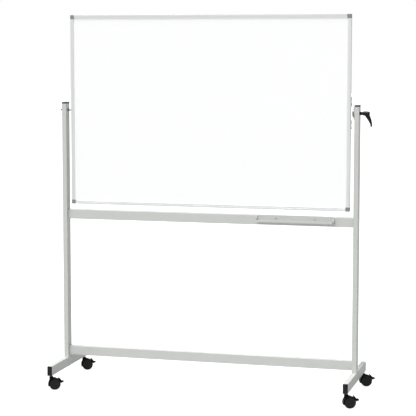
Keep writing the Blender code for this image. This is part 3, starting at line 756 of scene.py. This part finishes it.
def makeHousing(name):
    place, trail, axis, hub = casterAxes(name)
    up = Vector((0, 0, 1))
    stemFoot = (place.x, place.y, hub.z)
    start, end, top = caster["hoodStart"], caster["hoodEnd"], caster["neckTop"]
    hood = addPlate(arcPoints(caster["hoodOut"], start, end, 24, caster["hoodOffset"])
                    + arcPoints(caster["hoodIn"], end, start, 24),
                    caster["gap"] + 2 * caster["wheelWidth"], hub, trail, up)
    r = caster["neckR"]
    low = caster["columnLow"]
    neck = addLathe([(0, low), (r, low), (r, top - 0.0030), (r - 0.0004, top - 0.0012),
                     (r - 0.0012, top - 0.0002), (0, top)], stemFoot, up, 36)
    room = addPin(caster["webR"], -0.03, 0.03, hub, axis, 72)
    combine(neck, 'DIFFERENCE', room)
    column = addPin(caster["columnR"], caster["columnLow"], top - 0.002, stemFoot, up, 32)
    web = addPlate(arcPoints(caster["webR"], start, end, 20) + arcPoints(caster["hubEyeR"], 205, 330, 9)
                   + arcPoints(caster["eyeR"], -60, 60, 7, caster["pivot"]),
                   2 * caster["webHalf"], hub, trail, up)
    pivot = hub + trail * caster["pivot"][0] + up * caster["pivot"][1]
    reach = caster["gap"] / 2 - 0.0007
    boss = addPin(caster["pinR"], -reach, reach, pivot, axis, 20)
    combine(hood, 'UNION', neck, column, web, boss)
    hole = addPin(bores["axle"], -0.01, 0.01, hub, axis, 24)
    bore = addPin(bores["axle"], *caster["stemBore"], stemFoot, up, 20)
    combine(hood, 'DIFFERENCE', hole, bore)
    tidyMesh(hood)
    applyModifier(hood, 'BEVEL', width=caster["soft"], segments=3, limit_method='ANGLE',
                  angle_limit=math.radians(50), use_clamp_overlap=True)
    finishPiece(hood, name + "_hood", name + "_swivel",
                ["housingBlack"], [name + "_housing"])


stem = {"pinR": 0.003, "collarR": 0.0060, "threadR": 0.005, "point": 0.0012, "soft": 0.0004}


def makeStem(name):
    place, _, _, hub = casterAxes(name)
    low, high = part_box(name + "_stem")
    pin, collar, thread, soft = stem["pinR"], stem["collarR"], stem["threadR"], stem["soft"]
    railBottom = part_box("foot_rail_left")[0].z - fitGap
    neckTop = hub.z + caster["neckTop"] + fitGap
    profile = [(0, low.z), (pin - soft, low.z), (pin, low.z + soft), (pin, neckTop),
               (collar - soft, neckTop), (collar, neckTop + soft), (collar, railBottom - soft),
               (collar - soft, railBottom), (thread, railBottom), (thread, high.z - stem["point"]),
               (thread - stem["point"], high.z), (0, high.z)]
    piece = addLathe(profile, place, (0, 0, 1), 32)
    finishPiece(piece, name + "_stem_pin", "stand", ["zincPlate"],
                [name + "_stem"])


wheel = {"inner": 0.0004, "depth": 0.0085, "soft": 0.0006, "shoulder": 0.0036, "bulge": 0.0030,
         "rise": 0.0033, "groove": 0.0003}


def makeWheel(name, place):
    _, _, axis, hub = casterAxes(name)
    out = -axis if place == "front" else axis
    base = hub + out * caster["gap"] / 2
    r, width, disc = caster["wheelR"], caster["wheelWidth"], caster["discR"]
    inner, depth, soft = wheel["inner"], wheel["depth"], wheel["soft"]
    bulge, groove = wheel["bulge"], wheel["groove"]
    flank = width - wheel["shoulder"]
    profile = [(0, depth), (bores["axle"], depth), (bores["axle"], inner), (r - soft, inner),
               (r, inner + soft), (r, flank)]
    # rounded shoulder of the tread, a fine groove, then the flat disc
    profile += [(r - bulge + bulge * math.cos(math.radians(t)),
                 flank + wheel["rise"] * math.sin(math.radians(t))) for t in (18, 36, 54, 72, 90)]
    profile += [(disc + groove, width - groove), (disc, width - 2 * groove),
                (disc - groove, width - 2 * groove), (disc - 2 * groove, width - 0.0002),
                (disc - 0.0010, width), (0, width)]
    piece = addLathe(profile, base, out, 56)
    for material in ("treadBlack", "discBlack"):
        piece.data.materials.append(finishes[material])
    face = (base + out * (width - 0.0008)).dot(out)
    pick(piece, 'FACE', lambda c, n: c.dot(out) > face
         and (c - base - out * (c - base).dot(out)).length < disc)
    piece.active_material_index = 1
    bpy.ops.object.material_slot_assign()
    finishPiece(piece, f"{name}_wheel_{place}_tyre", f"{name}_wheel_{place}", [],
                [f"{name}_wheel_{place}"], 28)


ribs = {"count": 4, "first": 0.0368, "pitch": 0.0022, "height": 0.0147, "radius": 0.0006,
        "half": 0.0105}


def makePedal(name):
    _, trail, axis, hub = casterAxes(name)
    up = Vector((0, 0, 1))
    shoe = [(0.0195, 0.0328), (0.0240, 0.0289), (0.0283, 0.0245), (0.0310, 0.0209), (0.0333, 0.0172),
            (0.0350, 0.0150), (0.0457, 0.0145), (0.0460, 0.0108), (0.0400, 0.0092), (0.0350, 0.0062)]
    shoe += arcPoints(caster["pedalIn"], 12, 58, 12)
    pedal = addPlate(list(reversed(shoe)), caster["pedalWidth"], hub, trail, up)
    tidyMesh(pedal)
    applyModifier(pedal, 'BEVEL', width=caster["soft"], segments=3, limit_method='ANGLE',
                  angle_limit=math.radians(40), use_clamp_overlap=True)
    ear = arcPoints(caster["eyeR"], 125, 305, 12, caster["pivot"])
    ear += [(0.0312, 0.0120), (0.0206, 0.0262)]
    earY = caster["webHalf"] + fitGap + caster["ear"] / 2
    for sign in (-1, 1):
        plate = addPlate(ear, caster["ear"], hub + axis * sign * earY, trail, up)
        combine(pedal, 'UNION', plate)
    pivot = hub + trail * caster["pivot"][0] + up * caster["pivot"][1]
    hole = addPin(bores["axle"], -0.01, 0.01, pivot, axis, 20)
    combine(pedal, 'DIFFERENCE', hole)
    # grip ribs on the toe
    for i in range(ribs["count"]):
        spot = hub + trail * (ribs["first"] + ribs["pitch"] * i) + up * ribs["height"]
        rib = addPin(ribs["radius"], -ribs["half"], ribs["half"], spot, axis, 10)
        combine(pedal, 'UNION', rib)
    finishPiece(pedal, name + "_brake_pedal", name + "_pedal",
                ["housingBlack"], [name + "_pedal"])


def makeCasters():
    for side in sides:
        for end in ends:
            name = f"caster_{end}_{side}"
            makeStem(name)
            makeHousing(name)
            makeWheel(name, "front")
            makeWheel(name, "rear")
            makePedal(name)
            keepNode(name + "_axle", "zincPlate")
    print("casters made")


makeCasters()


# pivots, bracket and fasteners

screw = {"headR": 0.0047, "headH": 0.0038, "slot": 0.0011, "slotLength": 0.0054, "sink": 0.0014}


def addPanScrew(place, out, scale=1.0):
    # a pan head with a crossed recess, standing on place
    r, h = screw["headR"] * scale, screw["headH"] * scale
    out = Vector(out).normalized()
    profile = [(0, -0.0020), (r * 0.5, -0.0020), (r * 0.5, 0), (r, 0), (r, h * 0.35)]
    profile += [(r * math.cos(math.radians(t)), h * (0.35 + 0.65 * math.sin(math.radians(t))))
                for t in (20, 40, 60, 76)]
    profile += [(0, h)]
    head = addLathe(profile, place, out, 28)
    side = out.orthogonal().normalized()
    other = out.cross(side)
    for across, along in ((side, other), (other, side)):
        half, depth = screw["slotLength"] * scale / 2, screw["sink"] * scale
        blade = addPlate([(-half, h - depth), (half, h - depth), (half, h + 0.001),
                          (-half, h + 0.001)], screw["slot"] * scale, place, along, out)
        combine(head, 'DIFFERENCE', blade)
    return head


leftPivot = {"pinR": 0.004, "collarR": 0.0070, "collar": 0.0025,
             "pitch": 0.00125, "root": 0.00045, "flange": 0.0014, "bushR": 0.0055,
             "flangeR": 0.009, "soft": 0.0004}
# hexagons of the nut and the post bolts, cut back at their corners
hexagon = {"radius": 0.0075, "inset": 0.0011, "keep": 0.0070, "chamfer": 0.0006}


def chamferHexagon(piece, axis, face, outward, centre):
    # cuts back the corners of one end face, as a cone would
    pick(piece, 'FACE', lambda c, n: n[axis] * outward > 0.9)
    bpy.ops.mesh.inset(thickness=hexagon["inset"])

    def isCorner(co):
        away = co - centre
        away[axis] = 0
        return abs(co[axis] - face) < 1e-6 and away.length > hexagon["keep"]
    pick(piece, 'VERT', isCorner)
    back = Vector((0, 0, 0))
    back[axis] = -outward * hexagon["chamfer"]
    bpy.ops.transform.translate(value=back)


def makeLeftPivot():
    low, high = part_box("pivot_pin")
    centreY, centreZ = (low.y + high.y) / 2, (low.z + high.z) / 2
    postLow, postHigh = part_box("post_left")
    pinR, collarR, collar = leftPivot["pinR"], leftPivot["collarR"], leftPivot["collar"]
    pitch, soft = leftPivot["pitch"], leftPivot["soft"]
    face = postHigh.x + fitGap
    # the thread outside the post, as fine grooves
    thread = [(0, low.x), (pinR - 0.0010, low.x), (pinR - 0.0002, low.x + 0.0009)]
    x = low.x + 0.0012
    while x < postLow.x - 0.001:
        thread += [(pinR, x), (pinR - leftPivot["root"], x + pitch / 2)]
        x += pitch
    profile = thread + [(pinR, x), (pinR, face), (collarR - soft, face), (collarR, face + soft),
                        (collarR, face + collar - soft), (collarR - soft, face + collar),
                        (pinR, face + collar), (pinR, high.x - 0.0006), (pinR - 0.0006, high.x),
                        (0, high.x)]
    pin = addLathe(profile, (0, centreY, centreZ), (1, 0, 0), 28)
    finishPiece(pin, "pivot_pin_turned", "stand", ["darkSteel"], ["pivot_pin"])

    nutLow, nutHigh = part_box("pivot_nut")
    centre = Vector(((nutLow.x + nutHigh.x) / 2, centreY, centreZ))
    clearSelection()
    bpy.ops.mesh.primitive_cylinder_add(vertices=6, radius=hexagon["radius"],
                                        depth=nutHigh.x - nutLow.x, location=centre,
                                        rotation=(0, math.pi / 2, 0))
    nut = bpy.context.object
    applyPlace(nut)
    chamferHexagon(nut, 0, nutLow.x, -1, centre)
    chamferHexagon(nut, 0, nutHigh.x, 1, centre)
    bpy.ops.object.mode_set(mode='OBJECT')
    boreThrough(nut, centre, (1, 0, 0), bores["pivot"], 0.03)
    finishPiece(nut, "pivot_hex_nut", "stand", ["darkSteel"], ["pivot_nut"])

    bushLow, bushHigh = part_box("pivot_bush")
    flange, bushR, flangeR = leftPivot["flange"], leftPivot["bushR"], leftPivot["flangeR"]
    boreR = bores["pivot"]
    profile = [(boreR, bushLow.x), (flangeR - soft, bushLow.x), (flangeR, bushLow.x + soft),
               (flangeR, bushLow.x + flange), (bushR, bushLow.x + flange), (bushR, bushHigh.x - 0.001),
               (bushR - 0.0006, bushHigh.x), (boreR, bushHigh.x), (boreR, bushLow.x)]
    bush = addLathe(profile, (0, centreY, centreZ), (1, 0, 0), 36)
    finishPiece(bush, "pivot_bush_turned", "board", ["nylonGrey"],
                ["pivot_bush"])
    print("left pivot made")


bracket = {"plate": 0.002, "bend": 0.0365, "crown": 0.0305, "footEnd": 0.082,
           "screws": (0.0460, 0.0755), "edge": 0.0005, "round": 0.0035, "bendR": 0.0012}
clampBolt = {"headR": 0.022, "rim": 0.0012, "dome": 0.0075, "soft": 0.0004}


def makeBracket():
    low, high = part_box("pivot_bracket")
    centreY, centreZ = (low.y + high.y) / 2, (low.z + high.z) / 2
    plate = bracket["plate"]
    crownX = high.x - low.x - plate
    outer = [(plate, bracket["footEnd"]), (plate, bracket["bend"]),
             (crownX + plate, bracket["crown"])]
    inner = [(0, bracket["footEnd"]), (0, bracket["bend"] - 0.001), (crownX, bracket["crown"] - 0.001)]
    outline = outer + [(x, -z) for x, z in reversed(outer)]
    outline += [(x, -z) for x, z in inner] + list(reversed(inner))
    width = high.y - low.y
    piece = addPlate(outline, width, (low.x, centreY, centreZ), (1, 0, 0), (0, 0, 1))
    # bends with a real radius
    pick(piece, 'EDGE', lambda a, b: abs((a - b).y) > 0.01
         and abs(abs(a.z - centreZ) - 0.0335) < 0.0035)
    bevelEdges(bracket["bendR"], 3)
    # round corners on the feet
    pick(piece, 'EDGE', lambda a, b: abs((a - b).y) < 1e-6 and abs((a - b).x) > 0.001
         and abs(abs(a.z - centreZ) - bracket["footEnd"]) < 1e-5)
    bevelEdges(bracket["round"], 5)
    crown = Vector((low.x + crownX, centreY, centreZ))
    boreThrough(piece, crown, (1, 0, 0), bores["pivot"], 0.012)
    for sign in (-1, 1):
        for z in bracket["screws"]:
            place = (low.x + plate / 2, centreY, centreZ + sign * z)
            boreThrough(piece, place, (1, 0, 0), bores["screw"], 0.006)
    tidyMesh(piece)
    applyModifier(piece, 'BEVEL', width=bracket["edge"], segments=2, limit_method='ANGLE',
                  angle_limit=math.radians(60), use_clamp_overlap=True)
    finishPiece(piece, "pivot_bracket_pressing", "board", ["greyPaint"],
                ["pivot_bracket"])
    number = 0
    for sign in (-1, 1):
        for z in bracket["screws"]:
            number += 1
            head = addPanScrew((low.x + plate, centreY, centreZ + sign * z), (1, 0, 0))
            finishPiece(head, f"bracket_screw_{number}", "board", ["zincPlate"])
    boltLow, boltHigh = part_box("clamp_bolt")
    headFace = crown.x - fitGap
    headR, rim, soft = clampBolt["headR"], clampBolt["rim"], clampBolt["soft"]
    profile = [(0, boltHigh.x), (0.0032, boltHigh.x), (0.004, boltHigh.x - 0.0008),
               (0.004, headFace), (headR - soft, headFace), (headR, headFace - soft),
               (headR, headFace - rim)]
    profile += [(headR * math.cos(math.radians(t)) ** 0.8,
                 headFace - rim - clampBolt["dome"] * math.sin(math.radians(t)))
                for t in (12, 24, 36, 48, 60, 72, 82)]
    profile += [(0, boltLow.x)]
    bolt = addLathe(profile, (0, centreY, centreZ), (1, 0, 0), 48)
    finishPiece(bolt, "clamp_bolt_domed", "board", ["zincPlate"], ["clamp_bolt"])
    washerLow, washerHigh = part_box("friction_washer")
    r, soft = (washerHigh.z - washerLow.z) / 2, 0.0003
    profile = [(bores["pivot"], washerLow.x), (r - soft, washerLow.x), (r, washerLow.x + soft),
               (r, washerHigh.x - soft), (r - soft, washerHigh.x), (bores["pivot"], washerHigh.x),
               (bores["pivot"], washerLow.x)]
    washer = addLathe(profile, (0, centreY, centreZ), (1, 0, 0), 48)
    finishPiece(washer, "friction_washer_disc", "stand",
                ["frictionFibre"], ["friction_washer"])
    print("bracket made")


def makePostBolts():
    for side in sides:
        low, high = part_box("post_bolt_" + side)
        centre = (low + high) / 2
        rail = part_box("foot_rail_" + side)[0].z
        headTop = rail - fitGap
        clearSelection()
        bpy.ops.mesh.primitive_cylinder_add(
            vertices=6, radius=hexagon["radius"], depth=headTop - low.z,
            location=(centre.x, centre.y, (headTop + low.z) / 2))
        bolt = bpy.context.object
        applyPlace(bolt)
        chamferHexagon(bolt, 2, low.z, -1, centre)
        bpy.ops.object.mode_set(mode='OBJECT')
        shank = addLathe([(0, headTop - 0.001), (0.004, headTop - 0.001), (0.004, high.z - 0.0008),
                          (0.0032, high.z), (0, high.z)], (centre.x, centre.y, 0), (0, 0, 1), 28)
        combine(bolt, 'UNION', shank)
        finishPiece(bolt, "post_hex_bolt_" + side, "stand", ["zincPlate"],
                    ["post_bolt_" + side])
    print("post bolts made")


def makeTrayScrews():
    low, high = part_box("pen_tray")
    for number, share in enumerate(tray["screwShares"]):
        place = (low.x + (high.x - low.x) * share, high.y - tray["wall"],
                 low.z + tray["screwHeight"])
        head = addPanScrew(place, (0, -1, 0), tray["screwScale"])
        finishPiece(head, f"tray_screw_{number + 1}", "stand", ["zincPlate"])
    print("tray screws made")


makeLeftPivot()
makeBracket()
makePostBolts()
makeTrayScrews()


# clamping lever

lever = {"thick": 0.0110, "tipThick": 0.0068, "edge": 0.0028, "ballR": 0.0049, "neckR": 0.0085,
         "coreR": 0.0055, "hubR": 0.0112, "neckLength": 0.0170, "coreLength": 0.0352,
         "hubLength": 0.0502, "tip": (0.0577, -0.0620), "soft": 0.0004}


def makeLever():
    insertLow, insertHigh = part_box("clamp_insert")
    handleLow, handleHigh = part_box("clamp_handle")
    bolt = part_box("clamp_bolt")
    centreY, centreZ = (bolt[0].y + bolt[1].y) / 2, (bolt[0].z + bolt[1].z) / 2
    face = insertLow.x
    neckEnd, coreEnd = face + lever["neckLength"], face + lever["coreLength"]
    neckR, coreR, soft, boreR = lever["neckR"], lever["coreR"], lever["soft"], bores["pivot"]
    # insert: a plain neck with a soft rim, then the toothed core inside the handle
    profile = [(boreR, face), (neckR - soft, face), (neckR, face + soft), (neckR, neckEnd - soft),
               (neckR - soft, neckEnd), (coreR, neckEnd), (coreR, coreEnd),
               (bores["screw"], coreEnd), (bores["screw"], face + 0.0292), (0, face + 0.0292),
               (0, face + 0.0267), (boreR, face + 0.0267), (boreR, face)]
    insert = addLathe(profile, (0, centreY, centreZ), (1, 0, 0), 36)
    finishPiece(insert, "clamp_insert_neck", "clamp_insert",
                ["leverBlack"], ["clamp_insert"])

    hubStart, hubEnd, hubR = neckEnd + fitGap, face + lever["hubLength"], lever["hubR"]
    hub = [(0, hubEnd), (0.0050, hubEnd), (0.0060, hubEnd - 0.0003), (0.0074, hubEnd - 0.0011),
           (0.0087, hubEnd - 0.0024), (0.0098, hubEnd - 0.0044), (0.0106, hubEnd - 0.0074),
           (hubR, hubEnd - 0.0112), (hubR, hubStart + 0.0010), (hubR - 0.0003, hubStart + 0.0003),
           (hubR - 0.0010, hubStart), (0, hubStart)]
    handle = addLathe(hub, (0, centreY, centreZ), (1, 0, 0), 48)
    outline = [(0.0237, -0.0098), (0.0265, -0.0125), (0.0300, -0.0172), (0.0342, -0.0235),
               (0.0390, -0.0304), (0.0437, -0.0375), (0.0482, -0.0455), (0.0520, -0.0530),
               (0.0533, -0.0570)]
    outline += [(x, z) for x, z in arcPoints(lever["ballR"], 150, 372, 16, lever["tip"])]
    outline += [(0.0625, -0.0570), (0.0623, -0.0530), (0.0616, -0.0460), (0.0602, -0.0390),
                (0.0578, -0.0295), (0.0547, -0.0207), (0.0512, -0.0115), (0.0476, -0.0060),
                (0.0420, -0.0030), (0.0290, -0.0030)]
    arm = addPlate(outline, lever["thick"], (face, centreY, centreZ), (1, 0, 0), (0, 0, 1))
    bevelPlateRims(arm, lever["thick"], (face, centreY, centreZ), (0, 1, 0), lever["edge"], 5)

    def taper(co):
        share = min(1.0, max(0.0, (centreZ - 0.008 - co.z) / 0.050))
        scale = 1 + (lever["tipThick"] / lever["thick"] - 1) * share
        co.y = centreY + (co.y - centreY) * scale
        return co
    nudge(arm, taper)
    bpy.ops.object.mode_set(mode='OBJECT')
    clearSelection()
    bpy.ops.mesh.primitive_uv_sphere_add(segments=28, ring_count=18, radius=lever["ballR"],
                                         location=(face + lever["tip"][0], centreY,
                                                   centreZ + lever["tip"][1]))
    ball = bpy.context.object
    applyPlace(ball)
    combine(handle, 'UNION', arm, ball)
    # room for the toothed core, the screw's shank and the screw's head
    onAxis, along = (0, centreY, centreZ), (1, 0, 0)
    bore = addPin(coreR + fitGap, -0.002, coreEnd + 0.0006 - hubStart,
                  (hubStart, centreY, centreZ), along, 36)
    hole = addPin(0.0026, coreEnd - 0.01, hubEnd + 0.01, onAxis, along, 24)
    recess = addPin(0.0044, coreEnd + 0.0051, hubEnd + 0.01, onAxis, along, 32)
    combine(handle, 'DIFFERENCE', bore, hole, recess)
    finishPiece(handle, "clamp_lever_handle", "clamp_handle",
                ["leverBlack"], ["clamp_handle"], 40)
    low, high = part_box("clamp_screw")
    headStart = high.x - 0.0040
    profile = [(0, high.x), (0.0030, high.x), (0.0036, high.x - 0.0004), (0.0038, high.x - 0.0010),
               (0.0038, headStart), (0.002, headStart), (0.002, low.x + 0.0004),
               (0.0016, low.x), (0, low.x)]
    head = addLathe(profile, (0, centreY, centreZ), (1, 0, 0), 32)
    clearSelection()
    bpy.ops.mesh.primitive_cylinder_add(vertices=6, radius=0.0018, depth=0.004,
                                        location=(high.x, centreY, centreZ),
                                        rotation=(0, math.pi / 2, 0))
    socket = bpy.context.object
    applyPlace(socket)
    combine(head, 'DIFFERENCE', socket)
    finishPiece(head, "clamp_socket_screw", "clamp_insert", ["zincPlate"],
                ["clamp_screw"])
    print("lever made")


makeLever()
